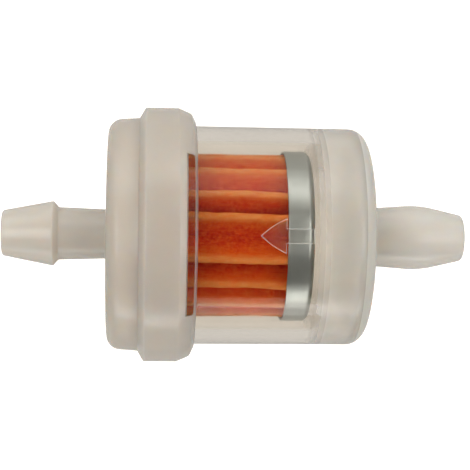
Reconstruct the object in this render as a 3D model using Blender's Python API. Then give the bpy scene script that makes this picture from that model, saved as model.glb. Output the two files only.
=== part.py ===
"""Inline fuel filter for a small petrol engine, modelled as the pieces it comes apart into.

A bowl with the inlet nipple and a cap with the outlet barb are bonded together round a pleated paper
element, which a metal cup closes at the inlet end and a metal ring holds on the cap at the outlet end.
The axis lies along X, fuel flows towards -X, and the flow arrow on the bowl faces +Z. The origin is on
the axis, midway between the tips of the two nipples.
"""

import math

import bmesh
import bpy
from mathutils import Matrix, Vector

MM = 0.001

# Driving dimensions, in millimetres. Every x is a station along the axis.
HALF_LENGTH = 28.6
BORE_RADIUS = 1.75
GAP = 0.2

BODY_RADIUS = 13.5
BODY_DRAFT = 0.003
BODY_WALL = 1.8
BODY_END_X = 16.1
BODY_END_WALL = 1.5
BODY_CORNER = 2.2
BODY_RIM_X = -10.9

CAP_FACE_X = -15.65
CAP_FACE_WALL = 1.65
CAP_FRONT_RADIUS = 14.15
CAP_FRONT_WALL = 2.1
CAP_CORNER = 1.75
CAP_STEP_X = -11.85
CAP_STEP_RADIUS = 14.4
FLANGE_RADIUS = 15.7
FLANGE_START_X = -11.1
FLANGE_END_X = -7.08
LIP_CORNER_X = -5.47
LIP_CORNER_RADIUS = 15.0
LIP_X = -4.93
POCKET_END_X = -6.2

BOND_THICKNESS = 0.3
BOND_GAP = 0.12

BARB_PEAK_X = -22.33
BARB_PEAK_RADIUS = 4.0
BARB_BACK_LENGTH = 0.65
BARB_TIP_RADIUS = 2.78
NECK_RADIUS = 3.05
NECK_DRAFT = 0.2
NIPPLE_ROOT_RADIUS = 3.55
NIPPLE_CROWN_X = 23.2
NIPPLE_CROWN_RADIUS = 4.08
NIPPLE_CROWN_CURVE = 12.0
NIPPLE_TIP_RADIUS = 2.82

SHEET = 0.3
CUP_RADIUS = 10.55
CUP_DEPTH = 3.2
CUP_SHOULDER = 1.3
CUP_FACE_X = 8.92
RING_FACE_X = -13.75
RING_DEPTH = 2.6
COLLAR_RADIUS = 4.5
COLLAR_DEPTH = 2.2
ADHESIVE_DEPTH = 0.8
ADHESIVE_CHAMFER = 0.6

PLEATS = 19
WIDE_PLEAT_DEG = 32.0
WIDE_PLEAT_CENTRE_DEG = 89.7
PLEAT_TWIST_DEG = 2.6
PAPER_THICKNESS = 0.4
PAPER_RADIUS = 10.1
PAPER_BORE = 5.9
FOLD_RADIUS = 0.32

TUBE_RADIUS = 5.2
TUBE_WALL = 0.4
TUBE_HOLE_RADIUS = 0.8
TUBE_HOLE_RINGS = 5
TUBE_HOLES_PER_RING = 6

CLIP_WIDTH = 2.2
CLIP_HEIGHT = 1.2
CLIP_SHEET = 0.25

SPIGOT_RADIUS = 2.7
SPIGOT_LENGTH = 3.0

ARROW_TIP_X = 2.22
ARROW_BACK_X = 5.27
ARROW_END_X = 8.47
ARROW_HEAD_WIDTH = 4.1
ARROW_SHAFT_WIDTH = 1.75
ARROW_SIDE_BULGE = 0.16
ARROW_RELIEF = 0.3

SHELL_SEGMENTS = 40
ELEMENT_SEGMENTS = 30
SMALL_FILLET = 0.5
SMALL_FILLET_STEPS = 2
LARGE_FILLET_STEPS = 4
FOLD_STEPS = 3
PAPER_STEPS = 2


def clear_scene():
    for ob in list(bpy.data.objects):
        bpy.data.objects.remove(ob)


def material(name, colour, roughness, metallic=0.0, alpha=1.0):
    mat = bpy.data.materials.new(name)
    mat.use_nodes = True
    shader = mat.node_tree.nodes["Principled BSDF"]
    shader.inputs["Base Color"].default_value = (*colour, 1.0)
    shader.inputs["Roughness"].default_value = roughness
    shader.inputs["Metallic"].default_value = metallic
    shader.inputs["Alpha"].default_value = alpha
    return mat


def arc(centre, radius, start, sweep, steps):
    """Points on an arc. Angles are in radians."""
    angles = [start + sweep * i / steps for i in range(steps + 1)]
    return [centre + radius * Vector((math.cos(a), math.sin(a))) for a in angles]


def rounded(corners):
    """A closed outline from (x, y, fillet radius) corners, each fillet drawn as an arc."""
    points = []
    for i, (x, y, radius) in enumerate(corners):
        corner = Vector((x, y))
        before = (Vector(corners[i - 1][:2]) - corner).normalized()
        after = (Vector(corners[(i + 1) % len(corners)][:2]) - corner).normalized()
        turn = math.pi - before.angle(after)
        if radius == 0 or turn < 1e-4:
            points.append(corner)
            continue
        centre = corner + (before + after).normalized() * radius / math.cos(turn / 2)
        first = corner + before * radius * math.tan(turn / 2) - centre
        last = corner + after * radius * math.tan(turn / 2) - centre
        sweep = math.atan2(first.cross(last), first.dot(last))
        quarter_steps = SMALL_FILLET_STEPS if radius <= SMALL_FILLET else LARGE_FILLET_STEPS
        steps = max(1, round(quarter_steps * turn / (math.pi / 2)))
        points += arc(centre, radius, math.atan2(first.y, first.x), sweep, steps)
    return points


def new_object(name, mesh_builder, mat, parent):
    """An object whose mesh comes from a bmesh, closed and facing out, with round faces shaded smooth."""
    mesh_builder.verts.ensure_lookup_table()
    bmesh.ops.remove_doubles(mesh_builder, verts=mesh_builder.verts, dist=1e-7)
    bmesh.ops.recalc_face_normals(mesh_builder, faces=mesh_builder.faces)
    mesh = bpy.data.meshes.new(name)
    mesh_builder.to_mesh(mesh)
    mesh_builder.free()
    mesh.shade_smooth()
    mesh.set_sharp_from_angle(angle=math.radians(35))
    ob = bpy.data.objects.new(name, mesh)
    bpy.context.scene.collection.objects.link(ob)
    ob.parent = parent
    if mat is not None:
        mesh.materials.append(mat)
    return ob


def turned(name, outline, segments, mat, parent, closed=True):
    """A piece turned about the X axis from an (x, radius) outline in millimetres."""
    bm = bmesh.new()
    verts = [bm.verts.new((x * MM, 0, r * MM)) for x, r in outline]
    ends = range(len(verts)) if closed else range(1, len(verts))
    edges = [bm.edges.new((verts[i - 1], verts[i])) for i in ends]
    bmesh.ops.spin(
        bm,
        geom=verts + edges,
        cent=(0, 0, 0),
        axis=(1, 0, 0),
        angle=math.tau,
        steps=segments,
        use_merge=True,
    )
    return new_object(name, bm, mat, parent)


def prism(outline, low, high):
    """A bmesh block that stands on a flat outline in the XY plane, between two heights."""
    bm = bmesh.new()
    base = bm.faces.new([bm.verts.new((x * MM, y * MM, low * MM)) for x, y in outline])
    raised = bmesh.ops.extrude_face_region(bm, geom=[base])["geom"]
    top = [part for part in raised if isinstance(part, bmesh.types.BMVert)]
    bmesh.ops.translate(bm, verts=top, vec=(0, 0, (high - low) * MM))
    return bm


def helper(ob):
    """Marks an object that only shapes another one."""
    ob.hide_render = True
    ob.display_type = "WIRE"
    return ob


def boolean(ob, other, operation):
    modifier = ob.modifiers.new(operation.title(), "BOOLEAN")
    modifier.object = other
    modifier.operation = operation
    modifier.solver = "EXACT"


def empty(name, parent=None):
    ob = bpy.data.objects.new(name, None)
    bpy.context.scene.collection.objects.link(ob)
    ob.parent = parent
    return ob


# The two mouldings


def body_radius(x):
    """The bowl's outer radius, which narrows towards the inlet so that it leaves its mould."""
    return BODY_RADIUS - BODY_DRAFT * x


def arrow_outline():
    """The flow arrow as a flat outline: a head with slightly bulging sides on a straight shaft."""
    half_head, half_shaft = ARROW_HEAD_WIDTH / 2, ARROW_SHAFT_WIDTH / 2
    tip, back = Vector((ARROW_TIP_X, 0)), Vector((ARROW_BACK_X, half_head))
    across = Vector((tip.y - back.y, back.x - tip.x)).normalized()
    side = []
    for i in range(5):
        along = i / 4
        bulge = 4 * along * (1 - along) * ARROW_SIDE_BULGE
        side.append(tip.lerp(back, along) + across * bulge)
    shaft = [Vector((ARROW_BACK_X, half_shaft)), Vector((ARROW_END_X, half_shaft))]
    upper = side + shaft
    lower = [Vector((p.x, -p.y)) for p in reversed(upper[1:])]
    return upper + lower


def make_bowl(mat, parent):
    rim, corner = body_radius(BODY_RIM_X), body_radius(BODY_END_X)
    inside_end = BODY_END_X - BODY_END_WALL
    outline = rounded(
        [
            (BODY_RIM_X, rim, 0.25),
            (BODY_END_X, corner, BODY_CORNER),
            (BODY_END_X, NIPPLE_ROOT_RADIUS, 0.4),
            (NIPPLE_CROWN_X, NIPPLE_CROWN_RADIUS, NIPPLE_CROWN_CURVE),
            (HALF_LENGTH, NIPPLE_TIP_RADIUS, 0.35),
            (HALF_LENGTH, BORE_RADIUS, 0),
            (inside_end, BORE_RADIUS, 0.3),
            (inside_end, corner - BODY_WALL, 1.2),
            (BODY_RIM_X, rim - BODY_WALL, 0.25),
        ]
    )
    bowl = turned("bowl", outline, SHELL_SEGMENTS, mat, parent)
    relief_radius = BODY_RADIUS + ARROW_RELIEF
    block = prism(arrow_outline(), BODY_RADIUS - BODY_WALL / 2, relief_radius + 1)
    arrow = new_object("arrow_block", block, None, parent)
    past_arrow = ARROW_END_X + 1
    rod = [(0, 0), (0, relief_radius), (past_arrow, relief_radius), (past_arrow, 0)]
    envelope = turned("arrow_envelope", rod, SHELL_SEGMENTS, None, parent, closed=False)
    boolean(helper(arrow), helper(envelope), "INTERSECT")
    boolean(bowl, arrow, "UNION")


def make_cap(mat, parent):
    lip_radius = body_radius(LIP_X) + 1.5 * GAP
    pocket_radius = body_radius(BODY_RIM_X) + 2 * BOND_GAP + BOND_THICKNESS
    inner_face = CAP_FACE_X + CAP_FACE_WALL
    shoulder = BODY_RIM_X - GAP
    outline = rounded(
        [
            (-HALF_LENGTH, BARB_TIP_RADIUS, 0.35),
            (BARB_PEAK_X, BARB_PEAK_RADIUS, 0.25),
            (BARB_PEAK_X + BARB_BACK_LENGTH, NECK_RADIUS + NECK_DRAFT, 0.25),
            (CAP_FACE_X, NECK_RADIUS, 0.35),
            (CAP_FACE_X, CAP_FRONT_RADIUS, CAP_CORNER),
            (CAP_STEP_X, CAP_STEP_RADIUS, 0),
            (FLANGE_START_X, FLANGE_RADIUS, 0.3),
            (FLANGE_END_X, FLANGE_RADIUS, 0.6),
            (LIP_CORNER_X, LIP_CORNER_RADIUS, 0.7),
            (LIP_X, lip_radius, 0),
            (POCKET_END_X, lip_radius, 0),
            (POCKET_END_X, pocket_radius, 0),
            (shoulder, pocket_radius, 0),
            (shoulder, CAP_FRONT_RADIUS - CAP_FRONT_WALL, 0.2),
            (inner_face, CAP_FRONT_RADIUS - CAP_FRONT_WALL, 0.8),
            (inner_face, SPIGOT_RADIUS, 0.2),
            (inner_face + SPIGOT_LENGTH, SPIGOT_RADIUS, 0.3),
            (inner_face + SPIGOT_LENGTH, BORE_RADIUS, 0),
            (-HALF_LENGTH, BORE_RADIUS, 0),
        ]
    )
    turned("cap", outline, SHELL_SEGMENTS, mat, parent)


def make_bond_layer(mat, parent):
    """The adhesive that fills the pocket between the cap's skirt and the bowl."""
    inner = body_radius(BODY_RIM_X) + BOND_GAP
    outer = inner + BOND_THICKNESS
    start, end = BODY_RIM_X, POCKET_END_X - BOND_GAP
    outline = [(start, inner), (start, outer), (end, outer), (end, inner)]
    turned("bond_layer", outline, SHELL_SEGMENTS, mat, parent)


# The filter element


def fold_angles():
    """(outer folds, inner folds) in radians, evenly spaced but for one wide pleat that faces +Z."""
    pitch = (360 - WIDE_PLEAT_DEG) / (PLEATS - 1)
    first = WIDE_PLEAT_CENTRE_DEG + WIDE_PLEAT_DEG / 2
    outer = [math.radians(first + pitch * i) for i in range(PLEATS)]
    following = outer[1:] + [outer[0] + math.tau]
    return outer, [(a + b) / 2 for a, b in zip(outer, following)]


def pleat_outline(side):
    """One face of the pleated sheet as a closed (y, z) outline: side is 1 for the outer face and -1 for the
    inner one. Each fold is an arc, and straight leaves join them along their common tangents."""
    reach = FOLD_RADIUS + PAPER_THICKNESS / 2
    folds = []
    for outward, inward in zip(*fold_angles()):
        for angle, radius, sign in ((outward, PAPER_RADIUS - reach, 1), (inward, PAPER_BORE + reach, -1)):
            folds.append((radius * Vector((math.cos(angle), math.sin(angle))), sign))

    def tangent(i):
        """The direction of the leaf that leaves fold i."""
        (here, sign), (there, _) = folds[i], folds[(i + 1) % len(folds)]
        way = there - here
        lean = sign * math.asin(2 * FOLD_RADIUS / way.length)
        return Matrix.Rotation(lean, 2) @ way.normalized()

    points = []
    for i, (centre, sign) in enumerate(folds):
        radius = FOLD_RADIUS + sign * side * PAPER_THICKNESS / 2
        first = sign * Vector((tangent(i - 1).y, -tangent(i - 1).x))
        last = sign * Vector((tangent(i).y, -tangent(i).x))
        sweep = math.atan2(first.cross(last), first.dot(last))
        points += arc(centre, radius, math.atan2(first.y, first.x), sweep, FOLD_STEPS)
    return points


def twisted_sheet(outer, inner, length, steps):
    """A bmesh sheet between two closed (y, z) outlines with matching points, run along X with a twist."""
    bm = bmesh.new()
    turn = Matrix.Rotation(math.radians(PLEAT_TWIST_DEG / steps), 3, "X")
    ends = []
    for outline in (outer, inner):
        verts = [bm.verts.new((0, y * MM, z * MM)) for y, z in outline]
        edges = [bm.edges.new((verts[i - 1], verts[i])) for i in range(len(verts))]
        first = verts
        for _ in range(steps):
            moved = bmesh.ops.extrude_edge_only(bm, edges=edges)["geom"]
            verts = [part for part in moved if isinstance(part, bmesh.types.BMVert)]
            edges = [part for part in moved if isinstance(part, bmesh.types.BMEdge)]
            edges = [edge for edge in edges if edge.verts[0] in verts and edge.verts[1] in verts]
            bmesh.ops.translate(bm, verts=verts, vec=(length / steps * MM, 0, 0))
            bmesh.ops.rotate(bm, verts=verts, cent=(0, 0, 0), matrix=turn)
        ends.append((first, verts))
    for outer_end, inner_end in zip(*ends):
        for i in range(len(outer_end)):
            bm.faces.new((outer_end[i - 1], outer_end[i], inner_end[i], inner_end[i - 1]))
    return bm


def paper_span():
    """Where the paper and its centre tube start and end, clear of the adhesive at both ends."""
    start = RING_FACE_X + SHEET + ADHESIVE_DEPTH + 2 * GAP
    end = CUP_FACE_X - SHEET - ADHESIVE_DEPTH - 2 * GAP
    return start, end


def make_pleated_paper(mat, parent):
    start, end = paper_span()
    bm = twisted_sheet(pleat_outline(1), pleat_outline(-1), end - start, PAPER_STEPS)
    paper = new_object("pleated_paper", bm, mat, parent)
    paper.location.x = start * MM


def make_seam_clip(mat, parent):
    """A folded metal strip that joins the two ends of the paper, along the inner fold nearest to -Z."""
    start, end = paper_span()
    inner_folds = fold_angles()[1]
    angle = min(inner_folds, key=lambda a: math.sin(a))
    half, wall = CLIP_WIDTH / 2, CLIP_SHEET
    channel = [
        (-half, 0, 0.3),
        (half, 0, 0.3),
        (half, CLIP_HEIGHT, 0),
        (half - wall, CLIP_HEIGHT, 0),
        (half - wall, wall, 0.15),
        (wall - half, wall, 0.15),
        (wall - half, CLIP_HEIGHT, 0),
        (-half, CLIP_HEIGHT, 0),
    ]
    bm = prism(rounded(channel), 0, end - start)
    clip = new_object("seam_clip", bm, mat, parent)
    foot = PAPER_BORE - 0.15 - wall
    along_x = Matrix(((0, 0, 1), (1, 0, 0), (0, 1, 0))).to_4x4()
    turn = Matrix.Rotation(angle - math.pi / 2 + math.radians(PLEAT_TWIST_DEG / 2), 4, "X")
    clip.matrix_local = turn @ Matrix.Translation((start * MM, 0, foot * MM)) @ along_x


def make_centre_tube(mat, parent):
    start, end = paper_span()
    inner = TUBE_RADIUS - TUBE_WALL
    outline = [(0, inner), (0, TUBE_RADIUS), (end - start, TUBE_RADIUS), (end - start, inner)]
    tube = turned("centre_tube", outline, ELEMENT_SEGMENTS, mat, parent)
    tube.location.x = start * MM
    punch = bmesh.new()
    for ring in range(TUBE_HOLE_RINGS):
        x = (ring + 0.5) / TUBE_HOLE_RINGS * (end - start)
        for hole in range(TUBE_HOLES_PER_RING):
            turn = math.tau * (hole + 0.5 * (ring % 2)) / TUBE_HOLES_PER_RING
            place = (
                Matrix.Rotation(turn, 4, "X")
                @ Matrix.Translation((x * MM, 0, (TUBE_RADIUS - TUBE_WALL / 2) * MM))
            )
            bmesh.ops.create_cone(
                punch,
                cap_ends=True,
                segments=8,
                radius1=TUBE_HOLE_RADIUS * MM,
                radius2=TUBE_HOLE_RADIUS * MM,
                depth=4 * TUBE_WALL * MM,
                matrix=place,
            )
    punches = helper(new_object("tube_punches", punch, None, parent))
    punches.location.x = start * MM
    boolean(tube, punches, "DIFFERENCE")


def make_closed_end_cup(mat, parent):
    """A pressed cup: its wall holds the pleats and its closed face turns the fuel round the element."""
    inside = CUP_RADIUS - SHEET
    corners = [
        (-CUP_DEPTH, inside, 0),
        (-CUP_DEPTH, CUP_RADIUS, 0),
        (0, CUP_RADIUS, CUP_SHOULDER),
        (0, 0, 0),
        (-SHEET, 0, 0),
        (-SHEET, inside, CUP_SHOULDER - SHEET),
    ]
    outline = rounded(corners)
    axis_points = [i for i, point in enumerate(outline) if point.y == 0]
    split = axis_points[1]
    outline = outline[split:] + outline[:split]
    cup = turned("closed_end_cup", outline, ELEMENT_SEGMENTS, mat, parent, closed=False)
    cup.location.x = CUP_FACE_X * MM


def make_open_end_ring(mat, parent):
    """A pressed ring like the cup, with a collar turned in round its hole."""
    inside = CUP_RADIUS - SHEET
    outline = rounded(
        [
            (RING_DEPTH, inside, 0),
            (RING_DEPTH, CUP_RADIUS, 0),
            (0, CUP_RADIUS, 0.8),
            (0, COLLAR_RADIUS - SHEET, 0.5),
            (COLLAR_DEPTH, COLLAR_RADIUS - SHEET, 0),
            (COLLAR_DEPTH, COLLAR_RADIUS, 0),
            (SHEET, COLLAR_RADIUS, 0.2),
            (SHEET, inside, 0.5),
        ]
    )
    ring = turned("open_end_ring", outline, ELEMENT_SEGMENTS, mat, parent)
    ring.location.x = RING_FACE_X * MM


def make_adhesive_beds(mat, parent):
    """The beds that bond the paper and the tube to the two metal ends."""
    outer = CUP_RADIUS - SHEET - GAP
    depth, chamfer = ADHESIVE_DEPTH, ADHESIVE_CHAMFER
    outline = [(-depth, 0), (-depth, outer), (-chamfer, outer), (0, outer - chamfer), (0, 0)]
    closed_end = turned(
        "closed_end_adhesive", outline, ELEMENT_SEGMENTS, mat, parent, closed=False
    )
    closed_end.location.x = (CUP_FACE_X - SHEET - GAP) * MM
    inner = COLLAR_RADIUS + GAP
    outline = [(0, inner), (0, outer - chamfer), (chamfer, outer), (depth, outer), (depth, inner)]
    open_end = turned("open_end_adhesive", outline, ELEMENT_SEGMENTS, mat, parent)
    open_end.location.x = (RING_FACE_X + SHEET + GAP) * MM


def make_seal_grommet(mat, parent):
    """The rubber sleeve that seals the element's collar on the cap's spigot."""
    inner, outer = SPIGOT_RADIUS + GAP, COLLAR_RADIUS - SHEET - GAP
    length = COLLAR_DEPTH - 0.2
    outline = rounded([(0, inner, 0.2), (0, outer, 0.3), (length, outer, 0.3), (length, inner, 0.2)])
    grommet = turned("seal_grommet", outline, ELEMENT_SEGMENTS, mat, parent)
    grommet.location.x = (RING_FACE_X + 0.1) * MM


def build():
    clear_scene()
    clear_plastic = material("clear_plastic", (0.62, 0.56, 0.48), 0.25, alpha=0.35)
    milky_plastic = material("milky_plastic", (0.60, 0.52, 0.44), 0.3, alpha=0.7)
    adhesive = material("adhesive", (0.72, 0.66, 0.55), 0.4)
    filter_paper = material("filter_paper", (0.62, 0.17, 0.03), 0.9)
    tinplate = material("tinplate", (0.55, 0.57, 0.55), 0.35, metallic=1.0)
    rubber = material("rubber", (0.02, 0.02, 0.02), 0.6)

    assembly = empty("fuel_filter")
    make_bowl(clear_plastic, assembly)
    make_cap(milky_plastic, assembly)
    make_bond_layer(adhesive, assembly)

    element = empty("filter_element", assembly)
    make_pleated_paper(filter_paper, element)
    make_seam_clip(tinplate, element)
    make_centre_tube(tinplate, element)
    make_closed_end_cup(tinplate, element)
    make_open_end_ring(tinplate, element)
    make_adhesive_beds(adhesive, element)
    make_seal_grommet(rubber, element)


build()
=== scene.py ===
"""The finished look of the inline fuel filter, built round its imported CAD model."""

import math

import bmesh
import bpy
from mathutils import Matrix, Vector, noise


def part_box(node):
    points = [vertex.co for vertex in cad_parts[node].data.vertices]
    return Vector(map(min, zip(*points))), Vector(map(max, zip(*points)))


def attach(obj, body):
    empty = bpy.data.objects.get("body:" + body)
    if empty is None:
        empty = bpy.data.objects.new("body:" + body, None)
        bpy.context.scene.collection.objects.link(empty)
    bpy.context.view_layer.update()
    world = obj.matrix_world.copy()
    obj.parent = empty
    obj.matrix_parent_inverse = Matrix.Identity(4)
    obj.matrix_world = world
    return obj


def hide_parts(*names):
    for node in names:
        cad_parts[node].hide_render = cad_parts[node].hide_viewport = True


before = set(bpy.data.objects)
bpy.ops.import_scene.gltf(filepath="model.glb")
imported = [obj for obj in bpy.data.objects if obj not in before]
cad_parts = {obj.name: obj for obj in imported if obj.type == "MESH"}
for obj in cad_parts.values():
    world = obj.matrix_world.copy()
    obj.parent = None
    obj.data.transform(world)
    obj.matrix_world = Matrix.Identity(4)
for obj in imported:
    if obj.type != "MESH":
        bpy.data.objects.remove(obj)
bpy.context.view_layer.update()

MM = 0.001

# Sizes in millimetres, as in the CAD model. Every x is a station along the filter's axis.
HALF_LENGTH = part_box("bowl")[1].x / MM
BODY_RIM_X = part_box("bowl")[0].x / MM
FLANGE_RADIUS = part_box("cap")[1].z / MM
LIP_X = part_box("cap")[1].x / MM
CUP_OPEN_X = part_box("closed_end_cup")[0].x / MM
CUP_FACE_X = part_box("closed_end_cup")[1].x / MM
CUP_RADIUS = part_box("closed_end_cup")[1].z / MM
PAPER_START_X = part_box("pleated_paper")[0].x / MM
PAPER_END_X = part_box("pleated_paper")[1].x / MM

BORE_RADIUS = 1.75
BORE_EDGE = 0.12
TIP_EDGE = 0.4
ROOT_FILLET = 0.4

# The bowl and its nipple.
BODY_RADIUS = 13.5
BODY_DRAFT = 0.003
BODY_WALL = 1.8
BODY_END_X = 16.1
BODY_END_WALL = 1.5
BODY_CORNER = 2.2
BODY_INNER_CORNER = 1.2
BODY_RIM_EDGE = 0.25
BODY_BORE_EDGE = 0.3
NIPPLE_ROOT_RADIUS = 3.55
NIPPLE_CROWN_X = 23.2
NIPPLE_CROWN_RADIUS = 4.08
NIPPLE_CROWN_CURVE = 12.0
NIPPLE_TIP_RADIUS = 2.82

# The cap, its barb and the spigot inside it.
CAP_FACE_X = -15.65
CAP_FACE_WALL = 1.65
CAP_FRONT_RADIUS = 14.15
CAP_FRONT_WALL = 2.1
CAP_CORNER = 1.75
CAP_INNER_CORNER = 0.8
CAP_STEP_X = -11.85
CAP_STEP_RADIUS = 14.4
CAP_STEP_FILLET = 0.15
CAP_FINE_FILLET = 0.2
FLANGE_START_X = -11.1
FLANGE_START_EDGE = 0.3
FLANGE_END_X = -7.08
FLANGE_END_EDGE = 0.6
LIP_CORNER_X = -5.47
LIP_CORNER_RADIUS = 15.0
LIP_CORNER = 0.7
LIP_EDGE = 0.1
LIP_CLEARANCE = 0.3
POCKET_END_X = -6.2
POCKET_CLEARANCE = 0.54
SHOULDER_GAP = 0.2
SPIGOT_RADIUS = 2.7
SPIGOT_LENGTH = 3.0
SPIGOT_EDGE = 0.3
BARB_TIP_RADIUS = 2.78
BARB_PEAK_X = -22.33
BARB_PEAK_RADIUS = 4.0
BARB_BACK_X = -21.68
BARB_BACK_RADIUS = 3.25
BARB_EDGE = 0.25
NECK_RADIUS = 3.05

# The metal cup on the inlet end of the paper.
SHEET = 0.3
CUP_RIM_EDGE = 0.08
CUP_SHOULDER = 0.8
CUP_STEP = 0.15
CUP_STEP_OUTER = 7.4
CUP_STEP_INNER = 7.0
CUP_STEP_FILLET = 0.15
CUP_STEP_SHIFT = 0.1

# The flow arrow.
ARROW_TIP_X = 2.22
ARROW_BACK_X = 5.27
ARROW_END_X = 8.47
ARROW_HEAD_WIDTH = 4.1
ARROW_SHAFT_WIDTH = 1.75
ARROW_SIDE_BULGE = 0.16
ARROW_RELIEF = 0.3
ARROW_BEVEL = 0.07
ARROW_FOOT_DEPTH = 0.8
ARROW_TIP_INSET = 1.8
ARROW_BACK_INSET = 0.4
ARROW_HEAD_STEPS = 8
ARROW_SHAFT_STEPS = 4

# The pleated paper.
PLEATS = 19
WIDE_PLEAT_DEG = 29.5
WIDE_PLEAT_CENTRE_DEG = 90.4
PLEAT_TWIST_DEG = 2.6
UNEVEN_PLEATS_DEG = {16: 0.5, 17: 2.9}
PLEAT_WAVE_DEG = 1.4
PLEAT_RIPPLE_DEG = 0.35
INNER_SWING = -0.5
FOLD_LIFT = 0.12
FOLD_DROP = 0.08
PAPER_RADIUS = 10.2
PAPER_BORE = 5.9
PAPER_THICKNESS = 0.4
PAPER_SECTIONS = 60
FOLD_RADIUS = 0.26

# How finely the meshes are cut.
SEGMENTS = 160
CUP_SEGMENTS = 144
BOWL_RUN = 0.7
CAP_RUN = 1.2
CUP_RUN = 0.8
SHARP_DEG = 32
UNION_SHARP_DEG = 30
PAPER_SHARP_DEG = 60
WELD_DISTANCE = 1e-7
STRAIGHT_TURN = 1e-4

# Places in the bowl's list of plastics that the arrow's sides, bevel and top use.
WALL_SLOT = 0
# The bevel takes the milky plastic: a painted highlight that draws a pale outline round the arrow.
BEVEL_HIGHLIGHT_SLOT = 1
FROSTED_SLOT = 2

# Where the plastics change: distances from the cup, the body's end, the lip and the paper's edge.
HAZE_START = 0.2
HALF_HAZE_START = 0.9
FULL_HAZE_START = 1.6
OUTER_SKIN = 0.4
CORNER_HAZE_DEPTH = 2.3
END_WALL_DEPTH = 1.4
NIPPLE_START = 0.3
LIP_BACK_MARGIN = 0.2
LIP_TIP_MARGIN = 0.25
LIP_SIDE_MARGIN = 0.9
BARB_MARGIN = 0.1


# Shapes


def arc(centre, radius, start, sweep, steps):
    """Points on an arc. Angles are in radians."""
    angles = [start + sweep * i / steps for i in range(steps + 1)]
    return [centre + radius * Vector((math.cos(a), math.sin(a))) for a in angles]


def rounded(corners, step_mm=0.12):
    """A closed outline from (x, y, fillet radius) corners, each fillet drawn as an arc."""
    points = []
    for i, (x, y, radius) in enumerate(corners):
        corner = Vector((x, y))
        before = (Vector(corners[i - 1][:2]) - corner).normalized()
        after = (Vector(corners[(i + 1) % len(corners)][:2]) - corner).normalized()
        turn = math.pi - before.angle(after)
        if radius == 0 or turn < STRAIGHT_TURN:
            points.append(corner)
            continue
        centre = corner + (before + after).normalized() * radius / math.cos(turn / 2)
        first = corner + before * radius * math.tan(turn / 2) - centre
        last = corner + after * radius * math.tan(turn / 2) - centre
        sweep = math.atan2(first.cross(last), first.dot(last))
        steps = min(12, max(3, round(radius * turn / step_mm)))
        points += arc(centre, radius, math.atan2(first.y, first.x), sweep, steps)
    return points


def divided(points, longest, closed=True):
    """The outline with its long straight runs cut into equal steps."""
    out = []
    for i, point in enumerate(points):
        if i or closed:
            before = points[i - 1]
            steps = max(1, math.ceil((point - before).length / longest))
            out += [before.lerp(point, k / steps) for k in range(1, steps)]
        out.append(point)
    return out


def finish_mesh(name, bm, sharp_deg=SHARP_DEG):
    bmesh.ops.remove_doubles(bm, verts=bm.verts, dist=WELD_DISTANCE)
    bmesh.ops.recalc_face_normals(bm, faces=bm.faces)
    mesh = bpy.data.meshes.new(name)
    bm.to_mesh(mesh)
    bm.free()
    mesh.shade_smooth()
    mesh.set_sharp_from_angle(angle=math.radians(sharp_deg))
    ob = bpy.data.objects.new(name, mesh)
    bpy.context.scene.collection.objects.link(ob)
    return ob


def turned(name, outline, segments=SEGMENTS, closed=True):
    """The outline of (x, radius) points turned round the X axis."""
    bm = bmesh.new()
    verts = [bm.verts.new((x * MM, 0, r * MM)) for x, r in outline]
    ends = range(len(verts)) if closed else range(1, len(verts))
    edges = [bm.edges.new((verts[i - 1], verts[i])) for i in ends]
    bmesh.ops.spin(
        bm,
        geom=verts + edges,
        cent=(0, 0, 0),
        axis=(1, 0, 0),
        angle=math.tau,
        steps=segments,
        use_merge=True,
    )
    return finish_mesh(name, bm)


def body_radius(x):
    """The bowl's outside radius at station x, with its slight draft."""
    return BODY_RADIUS - BODY_DRAFT * x


def joined(ob, other):
    """The union of two closed objects as one new mesh on the first. The other object goes."""
    union = ob.modifiers.new("Union", "BOOLEAN")
    union.object = other
    union.operation = "UNION"
    union.solver = "EXACT"
    view = bpy.context.evaluated_depsgraph_get()
    mesh = bpy.data.meshes.new_from_object(ob.evaluated_get(view))
    ob.modifiers.clear()
    ob.data = mesh
    bpy.data.objects.remove(other)
    mesh.shade_smooth()
    mesh.set_sharp_from_angle(angle=math.radians(UNION_SHARP_DEG))


def arrow_outline(inset):
    """The flow arrow as a flat outline: a head with slightly bulging sides on a straight shaft."""
    half_head = ARROW_HEAD_WIDTH / 2 - inset
    half_shaft = ARROW_SHAFT_WIDTH / 2 - inset
    tip = Vector((ARROW_TIP_X + ARROW_TIP_INSET * inset, 0))
    back = Vector((ARROW_BACK_X - inset, half_head - ARROW_BACK_INSET * inset))
    across = Vector((tip.y - back.y, back.x - tip.x)).normalized()
    upper = []
    for i in range(ARROW_HEAD_STEPS + 1):
        along = i / ARROW_HEAD_STEPS
        bulge = 4 * along * (1 - along) * ARROW_SIDE_BULGE
        upper.append(tip.lerp(back, along) + across * bulge)
    shaft_length = ARROW_END_X - ARROW_BACK_X
    for i in range(ARROW_SHAFT_STEPS + 1):
        x = ARROW_BACK_X - inset + shaft_length * i / ARROW_SHAFT_STEPS
        upper.append(Vector((x, half_shaft)))
    lower = [Vector((p.x, -p.y)) for p in reversed(upper[1:])]
    return upper + lower


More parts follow.
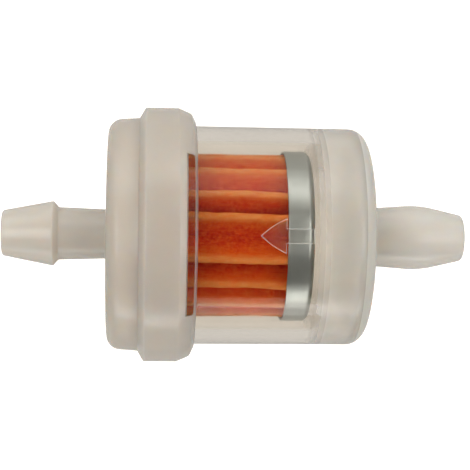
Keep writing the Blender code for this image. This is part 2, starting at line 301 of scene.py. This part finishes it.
def make_arrow():
    """The raised arrow as a closed block sunk in the wall.

    It has upright sides, a small bevel and a top that curves like the wall.
    """
    foot = BODY_RADIUS - ARROW_FOOT_DEPTH
    face = BODY_RADIUS + ARROW_RELIEF
    bm = bmesh.new()
    rings = []
    for inset, radius in ((0, foot), (0, face - ARROW_BEVEL), (ARROW_BEVEL, face)):
        ring = []
        for x, y in arrow_outline(inset):
            ring.append(bm.verts.new((x * MM, y * MM, math.sqrt(radius**2 - y**2) * MM)))
        rings.append(ring)
    count = len(rings[0])
    for low, high in zip(rings, rings[1:]):
        for i in range(count):
            side = bm.faces.new((low[i - 1], low[i], high[i], high[i - 1]))
            # Painted highlight: the bevel ring gets the milky plastic, a pale outline round the arrow.
            side.material_index = BEVEL_HIGHLIGHT_SLOT if high is rings[-1] else WALL_SLOT
    bm.faces.new(list(reversed(rings[0])))
    top = rings[-1]
    for i in range(count // 2):
        a, b, c, d = top[i], top[i + 1], top[(count - i - 1) % count], top[(count - i) % count]
        corners = [a, b, c] if i == 0 else ([a, b, d] if b == c else [a, b, c, d])
        bm.faces.new(corners).material_index = FROSTED_SLOT
    return finish_mesh("arrow", bm)


def make_bowl():
    rim = body_radius(BODY_RIM_X)
    corner = body_radius(BODY_END_X)
    inside_end = BODY_END_X - BODY_END_WALL
    outline = rounded(
        [
            (BODY_RIM_X, rim, BODY_RIM_EDGE),
            (BODY_END_X, corner, BODY_CORNER),
            (BODY_END_X, NIPPLE_ROOT_RADIUS, ROOT_FILLET),
            (NIPPLE_CROWN_X, NIPPLE_CROWN_RADIUS, NIPPLE_CROWN_CURVE),
            (HALF_LENGTH, NIPPLE_TIP_RADIUS, TIP_EDGE),
            (HALF_LENGTH, BORE_RADIUS, BORE_EDGE),
            (inside_end, BORE_RADIUS, BODY_BORE_EDGE),
            (inside_end, corner - BODY_WALL, BODY_INNER_CORNER),
            (BODY_RIM_X, rim - BODY_WALL, BODY_RIM_EDGE),
        ]
    )
    return turned("bowl_shell", divided(outline, BOWL_RUN))


def make_cap():
    lip_radius = body_radius(LIP_X) + LIP_CLEARANCE
    pocket_radius = body_radius(BODY_RIM_X) + POCKET_CLEARANCE
    inner_face = CAP_FACE_X + CAP_FACE_WALL
    inner_radius = CAP_FRONT_RADIUS - CAP_FRONT_WALL
    shoulder = BODY_RIM_X - SHOULDER_GAP
    spigot_end = inner_face + SPIGOT_LENGTH
    outline = rounded(
        [
            (-HALF_LENGTH, BARB_TIP_RADIUS, TIP_EDGE),
            (BARB_PEAK_X, BARB_PEAK_RADIUS, BARB_EDGE),
            (BARB_BACK_X, BARB_BACK_RADIUS, BARB_EDGE),
            (CAP_FACE_X, NECK_RADIUS, ROOT_FILLET),
            (CAP_FACE_X, CAP_FRONT_RADIUS, CAP_CORNER),
            (CAP_STEP_X, CAP_STEP_RADIUS, CAP_STEP_FILLET),
            (FLANGE_START_X, FLANGE_RADIUS, FLANGE_START_EDGE),
            (FLANGE_END_X, FLANGE_RADIUS, FLANGE_END_EDGE),
            (LIP_CORNER_X, LIP_CORNER_RADIUS, LIP_CORNER),
            (LIP_X, lip_radius, LIP_EDGE),
            (POCKET_END_X, lip_radius, 0),
            (POCKET_END_X, pocket_radius, 0),
            (shoulder, pocket_radius, 0),
            (shoulder, inner_radius, CAP_FINE_FILLET),
            (inner_face, inner_radius, CAP_INNER_CORNER),
            (inner_face, SPIGOT_RADIUS, CAP_FINE_FILLET),
            (spigot_end, SPIGOT_RADIUS, SPIGOT_EDGE),
            (spigot_end, BORE_RADIUS, 0),
            (-HALF_LENGTH, BORE_RADIUS, BORE_EDGE),
        ]
    )
    return turned("cap_shell", divided(outline, CAP_RUN))


def make_cup():
    """The pressed cup, with a rounded shoulder and a shallow pressed step on its closed face."""
    inside = CUP_RADIUS - SHEET
    step_x = CUP_FACE_X - CUP_STEP
    outline = rounded(
        [
            (CUP_OPEN_X, inside, CUP_RIM_EDGE),
            (CUP_OPEN_X, CUP_RADIUS, CUP_RIM_EDGE),
            (CUP_FACE_X, CUP_RADIUS, CUP_SHOULDER),
            (CUP_FACE_X, CUP_STEP_OUTER, CUP_STEP_FILLET),
            (step_x, CUP_STEP_INNER, CUP_STEP_FILLET),
            (step_x, 0, 0),
            (step_x - SHEET, 0, 0),
            (step_x - SHEET, CUP_STEP_INNER + CUP_STEP_SHIFT, CUP_STEP_FILLET),
            (CUP_FACE_X - SHEET, CUP_STEP_OUTER + CUP_STEP_SHIFT, CUP_STEP_FILLET),
            (CUP_FACE_X - SHEET, inside, CUP_SHOULDER - SHEET),
        ]
    )
    split = [i for i, point in enumerate(outline) if point.y == 0][1]
    outline = outline[split:] + outline[:split]
    return turned("cup", divided(outline, CUP_RUN, closed=False), CUP_SEGMENTS, closed=False)


def fold_angles():
    """(outer folds, inner folds) in radians from +Y, evenly spaced but for two uneven pleats.

    The gap between the last outer fold and the first is wider and faces +Z.
    """
    pitch = (360 - WIDE_PLEAT_DEG) / (PLEATS - 1)
    first = WIDE_PLEAT_CENTRE_DEG + WIDE_PLEAT_DEG / 2
    uneven = UNEVEN_PLEATS_DEG
    outer = [math.radians(first + pitch * i + uneven.get(i, 0)) for i in range(PLEATS)]
    following = outer[1:] + [outer[0] + math.tau]
    return outer, [(a + b) / 2 for a, b in zip(outer, following)]


def wobble(x, pleat, per_mm, apart, layer):
    """Smooth noise from about -1 to 1 that runs along a pleat and differs between pleats."""
    return noise.noise(Vector((x * per_mm, pleat * apart, layer)))


def mark_radius(ob, name, start, depth, power):
    """A value on every point that rises from 0 at the start radius to 1 at start + depth."""
    values = ob.data.attributes.new(name, "FLOAT", "POINT").data
    for vert, value in zip(ob.data.vertices, values):
        rise = (math.hypot(vert.co.y, vert.co.z) / MM - start) / depth
        value.value = min(1, max(0, rise)) ** power


def make_paper():
    """One folded sheet with slightly wavy pleats, closed along both ends."""
    reach = FOLD_RADIUS + PAPER_THICKNESS / 2
    outer, inner = fold_angles()
    bm = bmesh.new()
    loops = []
    for s in range(PAPER_SECTIONS + 1):
        along = s / PAPER_SECTIONS
        x = PAPER_START_X + (PAPER_END_X - PAPER_START_X) * along
        twist = math.radians(PLEAT_TWIST_DEG) * along
        folds = []
        for k, (outward, inward) in enumerate(zip(outer, inner)):
            wave = wobble(x, k, per_mm=0.16, apart=3.7, layer=0.5)
            ripple = wobble(x, k, per_mm=0.7, apart=5.1, layer=7.5)
            swing = math.radians(PLEAT_WAVE_DEG * wave + PLEAT_RIPPLE_DEG * ripple)
            rise = wobble(x, k, per_mm=0.25, apart=2.9, layer=3.5)
            lift = FOLD_LIFT * rise - FOLD_DROP
            for angle, radius, sign in (
                (outward + twist + swing, PAPER_RADIUS + lift - reach, 1),
                (inward + twist + INNER_SWING * swing, PAPER_BORE + reach, -1),
            ):
                folds.append((radius * Vector((math.cos(angle), math.sin(angle))), sign))
        sides = [pleat_points(folds, side) for side in (1, -1)]
        loops.append([[bm.verts.new((x * MM, y * MM, z * MM)) for y, z in line] for line in sides])
    count = len(loops[0][0])
    for a, b in zip(loops, loops[1:]):
        for side in (0, 1):
            for i in range(count):
                bm.faces.new((a[side][i - 1], a[side][i], b[side][i], b[side][i - 1]))
    for end in (loops[0], loops[-1]):
        for i in range(count):
            bm.faces.new((end[0][i - 1], end[0][i], end[1][i], end[1][i - 1]))
    ob = finish_mesh("paper_pleats", bm, PAPER_SHARP_DEG)
    # ridge drives the paper's painted highlight, paler outer fold edges.
    mark_radius(ob, "ridge", start=9.2, depth=0.8, power=2)
    # height drives the paper's painted shade, darker down in the valleys.
    mark_radius(ob, "height", start=6.5, depth=3.5, power=1)
    return ob


def pleat_points(folds, side, fold_steps=6, leaf_steps=6):
    """One side of the sheet, outer (1) or inner (-1), as a closed line of (y, z) points."""

    def tangent(i):
        (here, sign), (there, _) = folds[i], folds[(i + 1) % len(folds)]
        way = there - here
        lean = sign * math.asin(2 * FOLD_RADIUS / way.length)
        return Matrix.Rotation(lean, 2) @ way.normalized()

    points = []
    for i, (centre, sign) in enumerate(folds):
        radius = FOLD_RADIUS + sign * side * PAPER_THICKNESS / 2
        first = sign * Vector((tangent(i - 1).y, -tangent(i - 1).x))
        last = sign * Vector((tangent(i).y, -tangent(i).x))
        sweep = math.atan2(first.cross(last), first.dot(last))
        bend = arc(centre, radius, math.atan2(first.y, first.x), sweep, fold_steps)
        if points:
            before = points[-1]
            points += [before.lerp(bend[0], k / leaf_steps) for k in range(1, leaf_steps)]
        points += bend
    before, after = points[-1], points[0]
    points += [before.lerp(after, k / leaf_steps) for k in range(1, leaf_steps)]
    return points


# Materials

# How far the clouding darkens a plastic, and how far roughness varies round its stated value.
CLOUD_SHADE = 0.965
POLISH_LOW = 0.8
POLISH_HIGH = 1.25
DULL_LOW = 0.85
DULL_HIGH = 1.1


class Nodes:
    """Short calls for the few nodes that a new material or the world uses here."""

    def __init__(self, owner, shader="Principled BSDF", coordinates="Object"):
        owner.use_nodes = True
        self.owner = owner
        self.tree = owner.node_tree
        self.shader = self.tree.nodes[shader]
        self.place = self.tree.nodes.new("ShaderNodeTexCoord").outputs[coordinates]

    def new(self, kind, **sockets):
        node = self.tree.nodes.new("ShaderNode" + kind)
        for name, value in sockets.items():
            self.put(node.inputs[name.replace("_", " ")], value)
        return node

    def put(self, socket, value):
        if isinstance(value, bpy.types.NodeSocket):
            self.tree.links.new(value, socket)
        else:
            socket.default_value = value

    def set(self, **sockets):
        for name, value in sockets.items():
            self.put(self.shader.inputs[name.replace("_", " ")], value)

    def noise(self, per_mm, detail=3.0, stretch=(1, 1, 1), roughness=0.55):
        moved = self.new("Mapping", Vector=self.place, Scale=stretch)
        wave = self.new(
            "TexNoise",
            Vector=moved.outputs[0],
            Scale=per_mm / MM,
            Detail=detail,
            Roughness=roughness,
        )
        return wave.outputs["Fac"]

    def span(self, value, low, high, start=0.3, stop=0.7):
        """The value, from start to stop, spread over low to high."""
        node = self.new("MapRange", Value=value, From_Min=start, From_Max=stop, To_Min=low, To_Max=high)
        return node.outputs["Result"]

    def blend(self, factor, a, b):
        node = self.tree.nodes.new("ShaderNodeMix")
        node.data_type = "RGBA"
        self.put(node.inputs[0], factor)
        self.put(node.inputs[6], a)
        self.put(node.inputs[7], b)
        return node.outputs[2]

    def math(self, operation, a, b):
        node = self.tree.nodes.new("ShaderNodeMath")
        node.operation = operation
        self.put(node.inputs[0], a)
        self.put(node.inputs[1], b)
        return node.outputs[0]

    def attribute(self, name):
        node = self.tree.nodes.new("ShaderNodeAttribute")
        node.attribute_name = name
        return node.outputs["Fac"]

    def shown(self, lit, strength):
        """A fixed strength where the camera sees the surface itself, and lit for all other rays."""
        ray = self.new("LightPath").outputs["Is Camera Ray"]
        return self.new("Mix", Factor=ray, A=lit, B=strength).outputs["Result"]

    def bump(self, height, strength, distance_mm):
        node = self.new("Bump", Height=height, Strength=strength, Distance=distance_mm * MM)
        self.set(Normal=node.outputs["Normal"])


def plastic(
    name,
    colour,
    clear,
    roughness,
    soften=0.0,
    gloss=0.5,
    ior=1.47,
    glint=1.0,
    grain=0.0,
):
    """Moulded plastic with faint clouding and a slightly uneven polish.

    clear is how much light goes through, soften how much scatters in it, gloss and glint how
    strong and how white its reflections are, and grain how rough its frosting is.
    """
    n = Nodes(bpy.data.materials.new(name))
    tone = n.span(n.noise(0.16, 3.0), 0.0, 1.0)
    darker = tuple(c * CLOUD_SHADE for c in colour)
    n.set(
        Base_Color=n.blend(tone, (*darker, 1), (*colour, 1)),
        Roughness=n.span(n.noise(0.35, 2.0), roughness * POLISH_LOW, roughness * POLISH_HIGH),
        IOR=ior,
        Specular_IOR_Level=gloss,
        Specular_Tint=(glint, glint, glint, 1),
        Transmission_Weight=clear,
        Subsurface_Weight=soften,
        Subsurface_Radius=(1.0, 0.8, 0.62),
        Subsurface_Scale=3.0 * MM,
    )
    if grain:
        n.bump(n.noise(2.6, 2.0), grain, 0.05)
    return n.owner


def metal(name):
    """Pressed tinplate: satin, with fine drawing lines that run round the piece and a faint bloom."""
    n = Nodes(bpy.data.materials.new(name))
    lines = n.noise(2.2, 2.0, (1, 0.12, 0.12))
    bloom = n.noise(0.22, 3.0)
    n.set(
        Base_Color=n.blend(n.span(bloom, 0, 1), (0.44, 0.49, 0.5, 1), (0.51, 0.56, 0.57, 1)),
        Metallic=1.0,
        Roughness=n.span(lines, 0.34, 0.42),
    )
    n.bump(lines, 0.08, 0.02)
    return n.owner


def paper_finish(name):
    """Resin-treated paper: fibres, mottling, painted shade in valleys, painted highlight on fold edges.
    """
    n = Nodes(bpy.data.materials.new(name))
    fibre = n.noise(2.4, 4.0, (0.35, 1, 1), 0.7)
    cross = n.noise(3.1, 4.0, (1, 0.5, 0.5), 0.7)
    mottle = n.noise(0.3, 3.0)
    # Painted shade: the paper darkens from its fold edges down into the valleys, with random mottling
    # mixed in.
    depth = n.math("ADD", n.math("MULTIPLY", n.attribute("height"), 0.8), n.span(mottle, 0, 0.2))
    valley_shaded_ground = n.blend(depth, (0.74, 0.045, 0.0005, 1), (1.0, 0.2, 0.008, 1))
    weave = n.math("ADD", fibre, cross)
    woven = n.blend(n.span(weave, 0, 1, 0.85, 1.25), valley_shaded_ground, (1.0, 0.25, 0.03, 1))
    # Painted highlight: the outer fold edges turn paler, broken up by the fibres.
    ridge_highlight = n.math("MULTIPLY", n.attribute("ridge"), n.span(fibre, 0.35, 0.8))
    n.set(
        Base_Color=n.blend(ridge_highlight, woven, (1.0, 0.46, 0.16, 1)),
        Roughness=0.9,
        Specular_IOR_Level=0.15,
        Subsurface_Weight=0.3,
        Subsurface_Radius=(1.0, 0.35, 0.08),
        Subsurface_Scale=0.45 * MM,
    )
    n.bump(weave, 0.5, 0.05)
    return n.owner


def matte(name, dark, light, roughness, per_mm):
    """A dull material that clouds between two colours."""
    n = Nodes(bpy.data.materials.new(name))
    cloud = n.noise(per_mm, 3.0)
    n.set(
        Base_Color=n.blend(n.span(cloud, 0, 1), (*dark, 1), (*light, 1)),
        Roughness=n.span(cloud, roughness * DULL_LOW, roughness * DULL_HIGH),
    )
    n.bump(cloud, 0.2, 0.05)
    return n.owner


def give(ob, *mats):
    """Replace the object's materials."""
    ob.data.materials.clear()
    for mat in mats:
        ob.data.materials.append(mat)


def paint(ob, mat, test):
    """Give mat to the faces whose middle passes test(x, radius, y), in millimetres."""
    index = ob.data.materials.find(mat.name)
    for face in ob.data.polygons:
        middle = face.center / MM
        if test(middle.x, math.hypot(middle.y, middle.z), middle.y):
            face.material_index = index


def place(ob, node):
    """Show ob in place of the CAD node, on the only body."""
    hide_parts(node)
    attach(ob, "root")


bowl = make_bowl()
wall = plastic("bowl_wall", (0.965, 0.925, 0.87), 1.0, 0.07, gloss=0.35, glint=0.5)
milky = plastic("bowl_milky", (0.83, 0.795, 0.745), 0.45, 0.2, soften=1.0, gloss=0.25)
frosted = plastic("arrow_frost", (0.82, 0.77, 0.7), 0.985, 0.18, gloss=0.3, grain=0.6)
haze = plastic("bowl_haze", (0.87, 0.825, 0.765), 0.66, 0.2, soften=1.0, gloss=0.25)
end_wall = plastic("bowl_end", (0.94, 0.895, 0.825), 0.52, 0.2, soften=1.0, gloss=0.25)
faint = plastic("bowl_faint_haze", (0.935, 0.89, 0.835), 0.89, 0.12, soften=1.0, gloss=0.3)
half = plastic("bowl_half_haze", (0.9, 0.855, 0.8), 0.78, 0.18, soften=1.0, gloss=0.25)
give(bowl, wall, milky, frosted, haze, end_wall, faint, half)
skin = BODY_RADIUS - OUTER_SKIN
for mat, start in ((faint, HAZE_START), (half, HALF_HAZE_START), (haze, FULL_HAZE_START)):
    paint(bowl, mat, lambda x, r, y: x > CUP_FACE_X + start and r > skin)
paint(bowl, haze, lambda x, r, y: x > BODY_END_X - CORNER_HAZE_DEPTH)
paint(bowl, end_wall, lambda x, r, y: x > BODY_END_X - END_WALL_DEPTH)
paint(bowl, milky, lambda x, r, y: x > BODY_END_X + NIPPLE_START)
joined(bowl, make_arrow())
place(bowl, "bowl")

# The lip is clear only in front of the paper and behind it. Its low refractive index keeps the
# narrow prism that it forms from hiding the paper.
cap = make_cap()
lip = plastic("cap_lip", (0.99, 0.96, 0.92), 0.99, 0.05, gloss=0.3, ior=1.12)
cap_milky = plastic("cap_milky", (0.9, 0.82, 0.74), 0.6, 0.2, soften=1.0, gloss=0.3)
barb = plastic("cap_barb", (0.76, 0.715, 0.655), 0.4, 0.2, soften=1.0, gloss=0.25)
give(cap, lip, cap_milky, barb)
paint(cap, cap_milky, lambda x, r, y: x < POCKET_END_X - LIP_BACK_MARGIN)
paint(cap, cap_milky, lambda x, r, y: x > LIP_X - LIP_TIP_MARGIN)
paint(cap, cap_milky, lambda x, r, y: abs(y) > PAPER_RADIUS - LIP_SIDE_MARGIN)
paint(cap, barb, lambda x, r, y: x < CAP_FACE_X - BARB_MARGIN)
place(cap, "cap")

paper = make_paper()
give(paper, paper_finish("filter_paper"))
place(paper, "pleated_paper")

tinplate = metal("tinplate")
cup = make_cup()
give(cup, tinplate)
place(cup, "closed_end_cup")

bed = matte("adhesive_bed", (0.55, 0.47, 0.36), (0.66, 0.58, 0.46), 0.45, 0.5)
bond = plastic("bond", (0.8, 0.76, 0.7), 0.7, 0.45)
rubber = matte("rubber", (0.018, 0.018, 0.018), (0.035, 0.034, 0.033), 0.65, 0.8)
for node, mat in (
    ("open_end_ring", tinplate),
    ("centre_tube", tinplate),
    ("seam_clip", tinplate),
    ("closed_end_adhesive", bed),
    ("open_end_adhesive", bed),
    ("bond_layer", bond),
    ("seal_grommet", rubber),
):
    give(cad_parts[node], mat)


# Studio

# The floor and the surround look white to the camera, and light the filter less than that.
WHITE = 1.2

# The floor gives off more light inside a long oval under the filter than outside it.
GLOW_STRETCH = (0.62, 1, 1)
GLOW_START = 0.0085
GLOW_END = 0.0125
GLOW_NEAR = 0.76
GLOW_FAR = 0.52
FLOOR_HALF = 2

# The surround's brightness, from the floor's level and below up to overhead.
SKY_HEIGHTS = (0.12, 0.3, 0.6, 0.9)
SKY_LEVELS = (0.65, 0.62, 0.34, 0.3, 0.25, 0.22)

# Distances are in metres. The camera's lens, its sensor and its aim are in millimetres.
LIGHT_DISTANCE = 0.6
CAMERA_DISTANCE = 0.175
CAMERA_TILT = math.radians(3.8)
CAMERA_ROLL = math.radians(0.7)
CAMERA_LENS_MM = 107.5
CAMERA_SENSOR_MM = 36
AIM_X = 0.15
AIM_Y = 0.06

scene = bpy.context.scene
scene.view_settings.view_transform = "Standard"
scene.view_settings.look = "Medium High Contrast"
scene.cycles.sample_clamp_indirect = 6.0
scene.cycles.max_bounces = 20
scene.cycles.transmission_bounces = 20

floor_mesh = bpy.data.meshes.new("floor")
floor_corners = [(x * FLOOR_HALF, y * FLOOR_HALF, 0) for x, y in ((-1, -1), (1, -1), (1, 1), (-1, 1))]
floor_mesh.from_pydata(floor_corners, [], [(0, 1, 2, 3)])
floor = bpy.data.objects.new("floor", floor_mesh)
floor.location.z = -FLANGE_RADIUS * MM
scene.collection.objects.link(floor)
n = Nodes(bpy.data.materials.new("pale_floor"))
oval = n.new("Mapping", Vector=n.place, Scale=GLOW_STRETCH)
reach = n.new("VectorMath", Vector=oval.outputs["Vector"])
reach.operation = "LENGTH"
lit = n.span(reach.outputs["Value"], GLOW_NEAR, GLOW_FAR, GLOW_START, GLOW_END)
n.set(
    Base_Color=(0.06, 0.06, 0.059, 1),
    Roughness=0.9,
    Specular_IOR_Level=0.0,
    Emission_Color=(1, 0.97, 0.915, 1),
    Emission_Strength=n.shown(lit, WHITE),
)
floor_mesh.materials.append(n.owner)

scene.world = bpy.data.worlds.new("studio")
n = Nodes(scene.world, "Background", "Generated")
split = n.new("SeparateXYZ", Vector=n.place)
ramp = n.new("ValToRGB", Fac=split.outputs["Z"])
stops = ramp.color_ramp.elements
for height in SKY_HEIGHTS:
    stops.new(height)
for stop, level in zip(stops, SKY_LEVELS):
    stop.color = (level, level, level, 1)
sides = n.span(split.outputs["Y"], 0.6, 1.8, -0.5, 0.7)
lit = n.math("MULTIPLY", ramp.outputs["Color"], sides)
n.set(Color=(1, 0.98, 0.94, 1), Strength=n.shown(lit, WHITE))


def softbox(name, azimuth, elevation, width, height, radiance):
    """A rectangular light that faces the filter. Angles are in degrees, sizes in metres."""
    light = bpy.data.lights.new(name, "AREA")
    light.shape = "RECTANGLE"
    light.size = width
    light.size_y = height
    light.energy = radiance * math.pi * width * height
    ob = bpy.data.objects.new(name, light)
    a = math.radians(azimuth)
    e = math.radians(elevation)
    way = Vector((math.cos(a) * math.cos(e), math.sin(a) * math.cos(e), math.sin(e)))
    ob.location = way * LIGHT_DISTANCE
    ob.rotation_mode = "QUATERNION"
    ob.rotation_quaternion = way.to_track_quat("Z", "Y")
    ob.visible_camera = False
    scene.collection.objects.link(ob)


softbox("key", 92, 32, width=0.8, height=0.3, radiance=1.05)
softbox("left", 180, 60, width=0.4, height=0.28, radiance=3.6)
softbox("right", 0, 60, width=0.4, height=0.28, radiance=2.7)
softbox("fill", -90, 8, width=0.8, height=0.16, radiance=2.6)

cam_data = bpy.data.cameras.new("camera")
cam_data.lens = CAMERA_LENS_MM
cam_data.sensor_width = CAMERA_SENSOR_MM
camera = bpy.data.objects.new("camera", cam_data)
scene.collection.objects.link(camera)
turn = Matrix.Rotation(-CAMERA_TILT, 4, "Y") @ Matrix.Rotation(CAMERA_ROLL, 4, "Z")
aim = Matrix.Translation((AIM_X * MM, AIM_Y * MM, 0))
camera.matrix_world = aim @ turn @ Matrix.Translation((0, 0, CAMERA_DISTANCE))
scene.camera = camera
